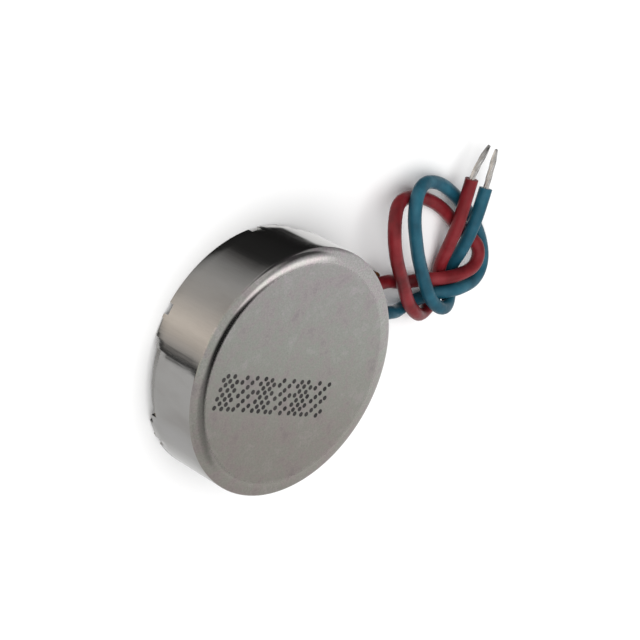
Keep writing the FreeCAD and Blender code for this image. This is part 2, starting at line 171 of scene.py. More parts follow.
world = bpy.data.worlds.new("studio")
world.use_nodes = True
bpy.context.scene.world = world
sky = world.node_tree
surround = sky.nodes["Background"]
evenly = sky.nodes.new("ShaderNodeBackground")
evenly.inputs["Color"].default_value = (1.0, 1.0, 1.0, 1.0)
evenly.inputs["Strength"].default_value = 0.62
ray = sky.nodes.new("ShaderNodeLightPath")
either = sky.nodes.new("ShaderNodeMixShader")
sky.links.new(ray.outputs["Is Glossy Ray"], either.inputs["Fac"])
sky.links.new(evenly.outputs["Background"], either.inputs[1])
sky.links.new(surround.outputs["Background"], either.inputs[2])
sky.links.new(either.outputs["Shader"], sky.nodes["World Output"].inputs["Surface"])

direction = sky.nodes.new("ShaderNodeTexCoord")
parts = sky.nodes.new("ShaderNodeSeparateXYZ")
sky.links.new(direction.outputs["Generated"], parts.inputs["Vector"])
heading = sky.nodes.new("ShaderNodeMath")
heading.operation = "ARCTAN2"
sky.links.new(parts.outputs["Y"], heading.inputs[0])
sky.links.new(parts.outputs["X"], heading.inputs[1])
round_share = sky.nodes.new("ShaderNodeMapRange")
round_share.inputs["From Min"].default_value = -math.pi
round_share.inputs["From Max"].default_value = math.pi
sky.links.new(heading.outputs["Value"], round_share.inputs["Value"])


def cards(stops):
    """Ring of cards round the motor; stops are (heading in degrees, brightness, warmth)."""
    ramp = sky.nodes.new("ShaderNodeValToRGB")
    while len(ramp.color_ramp.elements) < len(stops):
        ramp.color_ramp.elements.new(0.5)
    for element, (degrees, brightness, warmth) in zip(ramp.color_ramp.elements, stops):
        element.position = (degrees + 180.0) / 360.0
        element.color = (brightness * (1 + warmth), brightness, brightness * (1 - warmth), 1.0)
    sky.links.new(round_share.outputs["Result"], ramp.inputs["Fac"])
    return ramp.outputs["Color"]


def above(height_low, height_high, lower, upper):
    """Lower colour under one height, upper colour over the other, and a soft change between."""
    share = sky.nodes.new("ShaderNodeMapRange")
    share.interpolation_type = "SMOOTHSTEP"
    share.inputs["From Min"].default_value = height_low
    share.inputs["From Max"].default_value = height_high
    sky.links.new(parts.outputs["Z"], share.inputs["Value"])
    blend = sky.nodes.new("ShaderNodeMix")
    blend.data_type = "RGBA"
    sky.links.new(share.outputs["Result"], blend.inputs["Factor"])
    sky.links.new(lower, blend.inputs["A"])
    sky.links.new(upper, blend.inputs["B"])
    return blend.outputs["Result"]


low_cards = cards([
    (-180.0, 0.52, 0.0), (-124.0, 0.47, 0.0), (-94.0, 0.50, 0.0), (-74.0, 0.64, 0.0),
    (-64.0, 0.69, 0.0), (-50.0, 0.76, 0.0), (-20.0, 0.85, 0.0), (2.0, 0.80, 0.0), (4.0, 0.03, 0.0),
    (22.0, 0.012, 0.0), (63.0, 0.025, 0.0), (78.0, 0.215, 0.0), (98.0, 0.37, 0.02),
    (120.0, 0.42, 0.05), (146.0, 0.71, 0.10), (157.0, 0.52, 0.10), (167.0, 0.36, 0.05),
    (172.0, 0.06, 0.0), (178.6, 0.01, 0.0), (179.8, 0.52, 0.0),
])
middle_cards = cards([
    (-180.0, 0.44, 0.0), (-150.0, 0.46, 0.0), (-90.0, 0.47, 0.0), (-58.0, 0.50, 0.0),
    (-48.0, 0.57, 0.0), (-36.0, 0.62, 0.0), (-8.0, 0.58, 0.0), (6.0, 0.30, 0.0), (30.0, 0.25, 0.0),
    (42.0, 0.03, 0.0), (68.0, 0.03, 0.0), (92.0, 0.38, 0.02), (120.0, 0.44, 0.05),
    (150.0, 0.64, 0.08), (168.0, 0.46, 0.04),
])
high_cards = cards([
    (-180.0, 0.46, 0.0), (-125.0, 0.42, 0.0), (-74.0, 0.42, 0.0), (-62.0, 0.30, 0.0),
    (-52.0, 0.22, 0.0), (-47.0, 0.012, 0.0), (-38.5, 0.012, 0.0), (-35.0, 1.20, 0.02),
    (-28.0, 1.20, 0.02), (-22.0, 0.60, 0.0), (-14.0, 0.26, 0.0), (-5.0, 0.06, 0.0),
    (60.0, 0.05, 0.0), (90.0, 0.38, 0.02), (120.0, 0.44, 0.05), (150.0, 0.60, 0.08),
    (170.0, 0.46, 0.04),
])
zenith_card = cards([(-180.0, 0.47, 0.0), (0.0, 0.47, 0.02)])
lower_half = above(-0.25, 0.0, low_cards, middle_cards)
below_zenith = above(0.65, 0.70, lower_half, high_cards)
sky.links.new(above(0.81, 0.91, below_zenith, zenith_card), surround.inputs["Color"])

# ---------------------------------------------------------------------------------------------
# Leads. Two thin flexible hook-up wires, one red and one blue, in soft extruded insulation. They
# leave the tongue side by side, tie into one loose overhand knot and end with bared tips.
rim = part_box("can")[1].x
lead_radius = 0.00027
red_route = [
    (0.00080, 0.00070, 0.00084), (0.00156, 0.00060, 0.00086), (0.00209, 0.00026, 0.00064),
    (0.00296, -0.00030, 0.00028), (0.00390, -0.00044, 0.00044), (0.00481, -0.00058, 0.00087),
    (0.00560, -0.00062, 0.00102), (0.00642, -0.00062, 0.00094), (0.00690, -0.00008, 0.00070),
    (0.00656, 0.00054, 0.00040), (0.00596, 0.00114, 0.00028), (0.00544, 0.00190, 0.00028),
    (0.00480, 0.00260, 0.00028), (0.00396, 0.00320, 0.00028), (0.00297, 0.00367, 0.00055),
    (0.00200, 0.00392, 0.00100), (0.00136, 0.00358, 0.00148), (0.00111, 0.00278, 0.00172),
    (0.00141, 0.00171, 0.00156), (0.00192, 0.00056, 0.00134), (0.00240, -0.00062, 0.00112),
    (0.00289, -0.00132, 0.00102), (0.00372, -0.00202, 0.00050), (0.00457, -0.00188, 0.00028),
    (0.00497, -0.00131, 0.00028), (0.00493, -0.00040, 0.00028), (0.00516, 0.00056, 0.00060),
    (0.00543, 0.00147, 0.00084), (0.00575, 0.00243, 0.00092), (0.00611, 0.00343, 0.00096),
]
blue_route = [
    (0.00080, -0.00070, 0.00084), (0.00160, -0.00084, 0.00086), (0.00223, -0.00119, 0.00062),
    (0.00324, -0.00130, 0.00028), (0.00424, -0.00120, 0.00056), (0.00502, -0.00118, 0.00102),
    (0.00600, -0.00140, 0.00086), (0.00690, -0.00150, 0.00056), (0.00744, -0.00100, 0.00036),
    (0.00740, -0.00010, 0.00028), (0.00704, 0.00084, 0.00028), (0.00644, 0.00180, 0.00028),
    (0.00570, 0.00276, 0.00030), (0.00484, 0.00356, 0.00040), (0.00374, 0.00410, 0.00070),
    (0.00286, 0.00404, 0.00118), (0.00236, 0.00336, 0.00152), (0.00250, 0.00232, 0.00148),
    (0.00288, 0.00119, 0.00124), (0.00327, 0.00002, 0.00116), (0.00357, -0.00094, 0.00120),
    (0.00418, -0.00164, 0.00119), (0.00493, -0.00192, 0.00085), (0.00562, -0.00149, 0.00030),
    (0.00558, -0.00064, 0.00028), (0.00580, 0.00010, 0.00066), (0.00609, 0.00100, 0.00094),
    (0.00651, 0.00182, 0.00098), (0.00694, 0.00271, 0.00094),
]


def make_lead(name, route):
    """Round tube on one smooth spline, whose control points are the route's own."""
    curve = bpy.data.curves.new(name, "CURVE")
    curve.dimensions = "3D"
    curve.bevel_depth = lead_radius
    curve.bevel_resolution = 7
    curve.use_fill_caps = True
    curve.resolution_u = 10
    spline = curve.splines.new("NURBS")
    spline.points.add(len(route) - 1)
    for point, (x, y, z) in zip(spline.points, route):
        point.co = (rim + x, y, z, 1.0)
    spline.order_u = 3
    spline.use_endpoint_u = True
    made = bpy.data.objects.new(name, curve)
    bpy.context.scene.collection.objects.link(made)
    return made


def insulation(name, dark, middle, pale):
    """Extruded insulation: slow changes of tone, fine unevenness in gloss and relief, and a satin, slightly
    waxy skin.
    """
    made, tree, shader = new_material(name, 0.0, 0.38)
    stops = [(0.30, dark), (0.50, middle), (0.72, pale)]
    tones(tree, cloud(tree, 900.0, 4.0), stops, shader.inputs["Base Color"])
    spread(tree, cloud(tree, 5200.0, 2.0), 0.30, 0.46, shader.inputs["Roughness"])
    relief(tree, shader, cloud(tree, 7000.0, 3.0), 0.000006)
    shader.inputs["Specular IOR Level"].default_value = 0.35
    return made


red_lead = make_lead("red_lead_insulation", red_route)
blue_lead = make_lead("blue_lead_insulation", blue_route)
red_lead.data.materials.append(
    insulation("red_insulation", (0.085, 0.004, 0.006), (0.165, 0.010, 0.014), (0.235, 0.024, 0.030))
)
blue_lead.data.materials.append(
    insulation("blue_insulation", (0.005, 0.042, 0.066), (0.010, 0.078, 0.118), (0.022, 0.122, 0.172))
)

# ---------------------------------------------------------------------------------------------
# Tinned tips. Each lead's last millimetre and a half is bared: six fine copper strands laid round
# a seventh, dipped in tin, and drawn out to a blunt point.
tip_length = 0.00162
tip_radius = 0.000124
tip_twists = 0.45
tip_root = 0.00012
strand_sides = 48
tin_fill = 0.80


def build_mesh(name, points, faces, sharp_angle=35.0):
    """Mesh object from points and faces: doubles merged, faces outwards, smooth but for its edges."""
    data = bpy.data.meshes.new(name)
    data.from_pydata(points.reshape(-1, 3).tolist(), [], faces)
    work = bmesh.new()
    work.from_mesh(data)
    bmesh.ops.remove_doubles(work, verts=work.verts, dist=1e-8)
    bmesh.ops.dissolve_degenerate(work, edges=work.edges, dist=1e-8)
    bmesh.ops.recalc_face_normals(work, faces=work.faces)
    work.to_mesh(data)
    work.free()
    data.polygons.foreach_set("use_smooth", np.ones(len(data.polygons), bool))
    data.set_sharp_from_angle(angle=math.radians(sharp_angle))
    made = bpy.data.objects.new(name, data)
    bpy.context.scene.collection.objects.link(made)
    return made


def grid_faces(rows, columns, wrap_rows=False, wrap_columns=True):
    """Quads over a grid of points: corners (i, j), (i+1, j), (i+1, j+1), (i, j+1), wrapped if asked."""
    i, j = np.meshgrid(
        np.arange(rows if wrap_rows else rows - 1),
        np.arange(columns if wrap_columns else columns - 1),
        indexing="ij",
    )
    i, j = i.ravel(), j.ravel()
    i_next, j_next = (i + 1) % rows, (j + 1) % columns
    quads = np.stack(
        [i * columns + j, i_next * columns + j, i_next * columns + j_next, i * columns + j_next], axis=1
    )
    return quads.tolist()


def along(path, profile):
    """Rings of points: each profile row (radius at each turn) carried square to the path.

    A ring's point is the path's point plus radius times (cos t * side + sin t * up), where side and
    up are square to the path's direction.
    """
    ahead = np.gradient(path, axis=0)
    ahead /= np.linalg.norm(ahead, axis=1, keepdims=True)
    side = np.cross(ahead, np.array([0.0, 0.0, 1.0]))
    side /= np.linalg.norm(side, axis=1, keepdims=True)
    up = np.cross(side, ahead)
    turn = np.linspace(0, 2 * np.pi, profile.shape[1], endpoint=False)
    outwards = (
        np.cos(turn)[None, :, None] * side[:, None, :]
        + np.sin(turn)[None, :, None] * up[:, None, :]
    )
    return path[:, None, :] + profile[:, :, None] * outwards


def make_strands(name, path, radius, twists, taper):
    """Bundle of seven strands laid along a path.

    The outline of six round strands about a seventh is 2a cos p + sqrt(a^2 - 4a^2 sin^2 p) at an
    angle p from the nearest strand's middle, a third of the bundle being a; the tin fills it to a
    share of the radius. The outline is scaled by the taper and closed at both ends.
    """
    t = np.linspace(0, 1, len(path))[:, None]
    turn = np.linspace(0, 2 * np.pi, strand_sides, endpoint=False)[None, :]
    strand = radius / 3
    lay = turn + twists * 2 * np.pi * t
    off_middle = (lay + np.pi / 6) % (np.pi / 3) - np.pi / 6
    root = np.sqrt(np.maximum(strand ** 2 - 4 * strand ** 2 * np.sin(off_middle) ** 2, 0))
    outline = np.maximum(2 * strand * np.cos(off_middle) + root, tin_fill * radius) * taper
    outline[0] = 0
    outline[-1] = 0
    return build_mesh(name, along(path, outline), grid_faces(len(path), strand_sides), 60.0)


def make_tip(name, route, aim):
    """Strands on one bend, (1-t)^2 A + 2t(1-t) B + t^2 C, from the lead's end A to their point C.

    They narrow to a half over their last third.
    """
    end = np.array([rim, 0, 0]) + np.array(route[-1])
    heading = np.array(route[-1]) - np.array(route[-2])
    heading /= np.linalg.norm(heading)
    aim = np.array(aim) / np.linalg.norm(aim)
    bend = end + heading * tip_length / 4
    point = bend + aim * tip_length * 3 / 4
    start = end - heading * tip_root
    t = np.linspace(0, 1, 72)[:, None]
    path = (1 - t) ** 2 * start + 2 * t * (1 - t) * bend + t ** 2 * point
    taper = 1 - 0.50 * np.clip((t - 0.70) / 0.30, 0, 1) ** 1.8
    return make_strands(name, path, tip_radius, tip_twists, taper)


tinned, tinned_tree, tinned_shader = new_material("tinned_strands", 1.0, 0.12)
tones(
    tinned_tree,
    cloud(tinned_tree, 4200.0, 4.0),
    [(0.30, (0.66, 0.65, 0.63)), (0.50, (0.82, 0.81, 0.80)), (0.70, (0.90, 0.90, 0.89))],
    tinned_shader.inputs["Base Color"],
)
spread(tinned_tree, cloud(tinned_tree, 9000.0, 3.0), 0.08, 0.18, tinned_shader.inputs["Roughness"])
relief(tinned_tree, tinned_shader, cloud(tinned_tree, 12000.0, 3.0), 0.000002)

red_tip = make_tip("red_tip_strands", red_route, (0.86, 0.56, -0.14))
blue_tip = make_tip("blue_tip_strands", blue_route, (0.50, 0.86, -0.14))
for tip, colour in ((red_tip, "red"), (blue_tip, "blue")):
    tip.data.materials.append(tinned)
    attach(tip, "stator")
    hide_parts(colour + "_tinned_tip")

lead_pieces = (
    (red_lead, red_route, "red", red_tip),
    (blue_lead, blue_route, "blue", blue_tip),
)
for lead, route, colour, tip in lead_pieces:
    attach(lead, "stator")
    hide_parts(colour + "_lead")

# ---------------------------------------------------------------------------------------------
# End plate. A round blank of nickel-plated steel: its edge is coined thinner for the crimp tabs, a
# tongue carries the leads' joints and a boss stands round the shaft. Tumbling rounds its edges.


def softened(name, node, body, finish, rounding):
    """Copy of a CAD piece with its doubles merged, its flat faces whole and its edges rounded."""
    work = bmesh.new()
    work.from_mesh(nodes[node].data)
    bmesh.ops.remove_doubles(work, verts=work.verts, dist=1e-7)
    bmesh.ops.dissolve_limit(work, angle_limit=math.radians(0.5), verts=work.verts, edges=work.edges)
    data = bpy.data.meshes.new(name)
    work.to_mesh(data)
    work.free()
    data.polygons.foreach_set("use_smooth", np.ones(len(data.polygons), bool))
    data.set_sharp_from_angle(angle=math.radians(30.0))
    made = bpy.data.objects.new(name, data)
    bpy.context.scene.collection.objects.link(made)
    bevel = made.modifiers.new("rounding", "BEVEL")
    bevel.width = rounding
    bevel.segments = 2
    bevel.limit_method = "ANGLE"
    bevel.angle_limit = math.radians(50.0)
    bevel.use_clamp_overlap = True
    bevel.harden_normals = True
    data.materials.append(finish)
    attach(made, body)
    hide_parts(node)
    return made


def plain_finish(name, metallic, roughness, dark, pale, grain, depth):
    """Finish with a slow change between two tones, uneven gloss and a fine relief."""
    made, tree, shader = new_material(name, metallic, roughness)
    tones(tree, cloud(tree, grain * 0.15, 4.0), [(0.32, dark), (0.68, pale)], shader.inputs["Base Color"])
    spread(tree, cloud(tree, grain, 3.0), roughness * 0.8, roughness * 1.25, shader.inputs["Roughness"])
    relief(tree, shader, cloud(tree, grain * 1.4, 4.0), depth)
    return made


plate_nickel = plain_finish("plate_nickel", 1.0, 0.30, (0.52, 0.51, 0.49), (0.62, 0.61, 0.59), 6000.0, 3e-6)
softened("end_plate_blank", "end_plate", "stator", plate_nickel, 0.00003)

# ---------------------------------------------------------------------------------------------
# Shaft. A hardened steel pin, ground all round and pressed into the end plate's boss; its ends are
# chamfered and the far one sits loose in the can's pocket.
ground_steel = plain_finish("ground_steel", 1.0, 0.16, (0.60, 0.60, 0.61), (0.70, 0.70, 0.71), 9000.0, 1e-6)
softened("shaft_pin", "shaft", "stator", ground_steel, 0.00004)

# ---------------------------------------------------------------------------------------------
# Flexible board. Amber polyimide film stuck to the end plate, its tail on the tongue, with a land,
# a track and a tail pad of etched copper for each pole.
amber_film = plain_finish("amber_film", 0.0, 0.34, (0.13, 0.050, 0.012), (0.24, 0.105, 0.028), 4000.0, 3e-6)
etched_copper = plain_finish("etched_copper", 1.0, 0.30, (0.62, 0.30, 0.17), (0.80, 0.45, 0.28), 7000.0, 2e-6)
softened("flexible_board", "brush_board", "stator", amber_film, 0.000012)
for pole in ("positive", "negative"):
    softened("copper_track_" + pole, "copper_" + pole, "stator", etched_copper, 0.000008)

# ---------------------------------------------------------------------------------------------
# Magnet. A ring of sintered rare-earth alloy, nickel plated and magnetised with several poles, held
# to the board by a thin film of adhesive. Its edges are tumbled before it is plated.
cured_film = plain_finish("cured_film", 0.0, 0.45, (0.48, 0.45, 0.38), (0.60, 0.57, 0.50), 5000.0, 4e-6)
plated_magnet = plain_finish("plated_magnet", 1.0, 0.24, (0.50, 0.50, 0.51), (0.66, 0.66, 0.66), 5000.0, 3e-6)
softened("adhesive_ring", "magnet_adhesive", "stator", cured_film, 0.00001)
softened("magnet_ring", "ring_magnet", "stator", plated_magnet, 0.00006)

# ---------------------------------------------------------------------------------------------
# Brushes. Two fingers of precious-metal strip, cut, bent and soldered by their feet to the lands, so
# that their curled tips press up on the commutator.
brush_strip = plain_finish("brush_strip", 1.0, 0.22, (0.72, 0.56, 0.28), (0.86, 0.72, 0.42), 9000.0, 1e-6)
for pole in ("positive", "negative"):
    softened("brush_finger_" + pole, "brush_" + pole, "stator", brush_strip, 0.000012)

# ---------------------------------------------------------------------------------------------
# Thrust washers. Thin slippery film punched to rings, one on the boss below the rotor and one above.
pale_film = plain_finish("washer_film", 0.0, 0.40, (0.72, 0.72, 0.68), (0.84, 0.84, 0.80), 6000.0, 2e-6)
for place in ("lower", "upper"):
    softened(place + "_washer_ring", place + "_thrust_washer", "stator", pale_film, 0.000015)

# ---------------------------------------------------------------------------------------------
# Bush. Sintered bronze soaked in oil, which the rotor is moulded round and turns on.
open_bronze = plain_finish("open_bronze", 1.0, 0.42, (0.42, 0.28, 0.14), (0.62, 0.46, 0.26), 9000.0, 8e-6)
softened("bush_sleeve", "bearing_bush", "rotor", open_bronze, 0.00004)

# ---------------------------------------------------------------------------------------------
# Rotor board. A half-moon of thin laminate under green mask, with six gold-flashed commutator
# segments etched on its lower face.
green_mask = plain_finish("green_mask", 0.0, 0.32, (0.02, 0.14, 0.05), (0.05, 0.25, 0.10), 5000.0, 3e-6)
gold_flash = plain_finish("gold_flash", 1.0, 0.22, (0.75, 0.55, 0.22), (0.88, 0.70, 0.34), 8000.0, 1e-6)
softened("rotor_board_blank", "rotor_board", "rotor", green_mask, 0.00002)
softened("commutator_plates", "commutator_segments", "rotor", gold_flash, 0.000008)

# ---------------------------------------------------------------------------------------------
# Coils. Two flat air-cored coils of enamelled copper wire, wound in layers on a rounded former and
# baked so that the turns hold together, one on each side of the weight.
coil_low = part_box("coil_a")[0].z
coil_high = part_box("coil_a")[1].z
coil_winding = 0.00072
coil_inner_radius = 0.00160
coil_outer_radius = 0.00425
coil_half = math.radians(27.0)
coil_offset = math.radians(69.0)
wires_across = 9
wires_up = 7
points_a_wire = 5
wire_dip = 0.55
coil_steps = 112
coil_roundness = 0.36


def wound_section():
    """Outline of a block of round wires, as (inset, height) pairs: |sin| scallops along each side."""
    across = np.arange(wires_across * points_a_wire) / (wires_across * points_a_wire)
    up = np.arange(wires_up * points_a_wire) / (wires_up * points_a_wire)
    half_wire = coil_winding / wires_across / 2
    dip_across = half_wire * wire_dip * (1 - np.abs(np.sin(np.pi * wires_across * across)))
    dip_up = half_wire * wire_dip * (1 - np.abs(np.sin(np.pi * wires_up * up)))
    height = coil_high - coil_low
    return np.concatenate([
        np.stack([across * coil_winding, coil_low + dip_across], axis=1),
        np.stack([coil_winding - dip_up, coil_low + up * height], axis=1),
        np.stack([(1 - across) * coil_winding, coil_high - dip_across], axis=1),
        np.stack([dip_up, coil_high - up * height], axis=1),
    ])


def make_winding(name, middle):
    """Section swept round a rounded sector.

    At an inset d from the coil's outline and a turn t, the radius is m + h * p(cos t) and the angle is
    middle + (half - asin(d / radius)) * p(sin t), where m and h are the middle and half of the radii
    inside that inset, and p(x) = sign(x) |x|^roundness squares the ring off.
    """
    section = wound_section()
    t = np.linspace(0, 2 * np.pi, coil_steps, endpoint=False)[None, :]
    inset = section[:, :1]
    square_cos = np.sign(np.cos(t)) * np.abs(np.cos(t)) ** coil_roundness
    square_sin = np.sign(np.sin(t)) * np.abs(np.sin(t)) ** coil_roundness
    middle_radius = (coil_inner_radius + coil_outer_radius) / 2
    half_depth = (coil_outer_radius - coil_inner_radius) / 2 - inset
    radius = middle_radius + half_depth * square_cos
    angle = middle + (coil_half - np.arcsin(inset / radius)) * square_sin
    height = np.broadcast_to(section[:, 1:], radius.shape)
    points = np.stack([radius * np.cos(angle), radius * np.sin(angle), height], axis=-1)
    return build_mesh(name, points, grid_faces(len(section), coil_steps, wrap_rows=True), 50.0)


enamelled = plain_finish("enamelled_wire", 1.0, 0.28, (0.50, 0.20, 0.08), (0.72, 0.36, 0.17), 8000.0, 3e-6)
for letter, side in (("a", 1), ("b", -1)):
    winding = make_winding("winding_" + letter, math.pi + side * coil_offset)
    winding.data.materials.append(enamelled)
    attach(winding, "rotor")
    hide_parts("coil_" + letter)

# ---------------------------------------------------------------------------------------------
# Counterweight. A segment pressed and sintered from tungsten powder, which makes the rotor heavy on
# one side.
sintered = plain_finish("sintered_tungsten", 1.0, 0.45, (0.22, 0.22, 0.23), (0.36, 0.36, 0.37), 8000.0, 6e-6)
softened("weight_segment", "counterweight", "rotor", sintered, 0.00004)

# ---------------------------------------------------------------------------------------------
# Moulding. Black resin moulded over the board, round the coils, the weight and the bush, which makes
# one rotor of them.
resin_tones = (0.018, 0.018, 0.020), (0.045, 0.045, 0.050)
black_resin = plain_finish("black_resin", 0.0, 0.42, *resin_tones, 5000.0, 4e-6)
softened("rotor_resin", "rotor_moulding", "rotor", black_resin, 0.00003)

# ---------------------------------------------------------------------------------------------
# Can. A cup drawn from thin nickel-plated steel: a satin face, rubbed smooth round its edge, and a
# brighter wall. Its rim has three wide gaps, small relief notches, a notch for the leads, and tabs
# crimped over the end plate.
can_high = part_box("can")[1]
can_radius = can_high.x
can_height = can_high.z
can_wall = 0.00022
edge_width = 0.00062
edge_drop = 0.00018
inner_edge_radius = 0.00012
mouth_radius = can_radius - can_wall + 0.00006
seat_height = 0.00044
gap_angles = (51.5, 171.5, 291.5)
gap_half = 16.0
gap_height = 0.00054
shoulder_half = 20.5
shoulder_height = 0.00025
tab_offset = 24.5
tab_half = 4.0
tab_thickness = 0.00016
tab_reach = 0.00050
bend_radius = 0.00012
notch_offset = 33.0
notch_half = 2.5
notch_height = 0.00022
exit_half = 14.0
exit_height = 0.00085
exit_keep_clear = 19.5
cut_slope = 0.10
edge = 0.00002
edge_middle = edge * 0.3
rub_before_edge = 0.00004
rub_over_edge = 0.00012
rubbed_roughness = 0.085


def between(angle, low, high):
    """1 inside an arc in degrees and 0 outside it, with a short slope at both ends."""
    middle = (low + high) / 2
    off = np.abs((angle - middle + 180.0) % 360.0 - 180.0)
    return np.clip(((high - low) / 2 + cut_slope - off) / (2 * cut_slope), 0, 1)


tab_angles = [gap + side * tab_offset for gap in gap_angles for side in (-1, 1)]
notch_angles = [gap + side * notch_offset for gap in gap_angles for side in (-1, 1)]
notch_angles = [notch for notch in notch_angles if abs(notch) > exit_keep_clear]
arcs = [(gap - gap_half, gap + gap_half) for gap in gap_angles]
arcs += [(gap - shoulder_half, gap + shoulder_half) for gap in gap_angles]
arcs += [(tab - tab_half, tab + tab_half) for tab in tab_angles]
arcs += [(notch - notch_half, notch + notch_half) for notch in notch_angles]
arcs.append((-exit_half, exit_half))
breaks = np.array(arcs).ravel()
angle = np.unique(np.round(np.concatenate([
    np.arange(0, 360, 1.5),
    (breaks - cut_slope) % 360.0,
    (breaks + cut_slope) % 360.0,
]), 4))
rim_height = np.zeros_like(angle)
cuts = [(gap, gap_half, gap_height) for gap in gap_angles]
cuts += [(gap, shoulder_half, shoulder_height) for gap in gap_angles]
cuts += [(notch, notch_half, notch_height) for notch in notch_angles]
cuts.append((0.0, exit_half, exit_height))
for middle, half, height in cuts:
    rim_height = np.maximum(rim_height, height * between(angle, middle - half, middle + half))
tab_share = sum(between(angle, tab - tab_half, tab + tab_half) for tab in tab_angles)


def arc_points(radius, height, width, drop, start, stop, count):
    """Points (radius + width cos t, height + drop sin t) on an arc, its angles t in degrees."""
    turn = np.radians(np.linspace(start, stop, count))
    return np.stack([radius + width * np.cos(turn), height + drop * np.sin(turn)], axis=1)


inner_radius = can_radius - can_wall
inner_top = can_height - can_wall
skin = np.concatenate([
    np.stack([np.linspace(0, can_radius - edge_width, 9)[:-1], np.full(8, can_height)], axis=1),
    arc_points(can_radius - edge_width, can_height - edge_drop, edge_width, edge_drop, 90, 0, 24),
])
lining = np.concatenate([
    arc_points(
        inner_radius - inner_edge_radius, inner_top - inner_edge_radius,
        inner_edge_radius, inner_edge_radius, 0, 90, 8,
    ),
    np.array([[inner_radius * 0.5, inner_top], [0, inner_top]]),
])
wall_steps = np.linspace(0, 1, 7)[1:-1, None, None]
outer_corner = np.stack([
    np.stack([np.full_like(angle, can_radius), rim_height + edge], axis=-1),
    np.stack([np.full_like(angle, can_radius - edge_middle), rim_height + edge_middle], axis=-1),
    np.stack([np.full_like(angle, can_radius - edge), rim_height], axis=-1),
])
bend_middle = bend_radius * (1 - math.sqrt(0.5))
tab_corner = np.array([
    [can_radius, bend_radius],
    [can_radius - bend_middle, bend_middle],
    [can_radius - bend_radius, 0.0],
])[:, None, :]
mouth = np.where(rim_height < seat_height, mouth_radius, inner_radius)
inner_corner = np.stack([
    np.stack([mouth + edge, rim_height], axis=-1),
    np.stack([mouth + edge_middle, rim_height + edge_middle], axis=-1),
    np.stack([mouth, rim_height + edge], axis=-1),
    np.stack([mouth, rim_height + 2 * edge], axis=-1),
    np.stack([mouth, np.maximum(rim_height + 3 * edge, tab_thickness)], axis=-1),
])
tab_tip = mouth_radius - tab_reach
tab_inner = np.array([
    [tab_tip + edge, 0.0],
    [tab_tip, edge],
    [tab_tip, tab_thickness - edge],
    [tab_tip + edge, tab_thickness],
    [mouth_radius, tab_thickness],
])[:, None, :]
share = tab_share[None, :, None]
outer_corner = outer_corner * (1 - share) + tab_corner * share
inner_corner = inner_corner * (1 - share) + tab_inner * share
seat = np.stack([
    np.stack([mouth, np.maximum(rim_height + 4 * edge, seat_height - edge)], axis=-1),
    np.stack([np.full_like(angle, inner_radius), np.maximum(rim_height + 5 * edge, seat_height)], axis=-1),
])
wall = skin[-1] * (1 - wall_steps) + outer_corner[0] * wall_steps
profile = np.concatenate([
    np.repeat(skin[:, None, :], len(angle), axis=1),
    wall,
    outer_corner,
    inner_corner,
    seat,
    np.repeat(lining[:, None, :], len(angle), axis=1),
])
turn = np.radians(angle)[None, :]
can_points = np.stack([
    profile[:, :, 0] * np.cos(turn),
    profile[:, :, 0] * np.sin(turn),
    profile[:, :, 1],
], axis=-1)
can = build_mesh("can_shell", can_points, grid_faces(*profile.shape[:2]), 40.0)
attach(can, "stator")
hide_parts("can")


def multiplied(tree):
    """Mix node that multiplies its two colours."""
    mix = tree.nodes.new("ShaderNodeMix")
    mix.data_type = "RGBA"
    mix.blend_type = "MULTIPLY"
    mix.inputs["Factor"].default_value = 1.0
    return mix


def worked_out(tree, kind, operation, *operands):
    """Result of a new maths node; each operand is a socket to link or a constant."""
    node = tree.nodes.new(kind)
    node.operation = operation
    for socket, operand in zip(node.inputs, operands):
        if isinstance(operand, bpy.types.NodeSocket):
            tree.links.new(operand, socket)
        else:
            socket.default_value = operand
    return next(output for output in node.outputs if output.enabled)


def span(tree, source, low, high, interpolation="LINEAR"):
    """Share of the way from low to high that a source has come."""
    share = tree.nodes.new("ShaderNodeMapRange")
    share.interpolation_type = interpolation
    share.inputs["From Min"].default_value = low
    share.inputs["From Max"].default_value = high
    tree.links.new(source, share.inputs["Value"])
    return share.outputs["Result"]


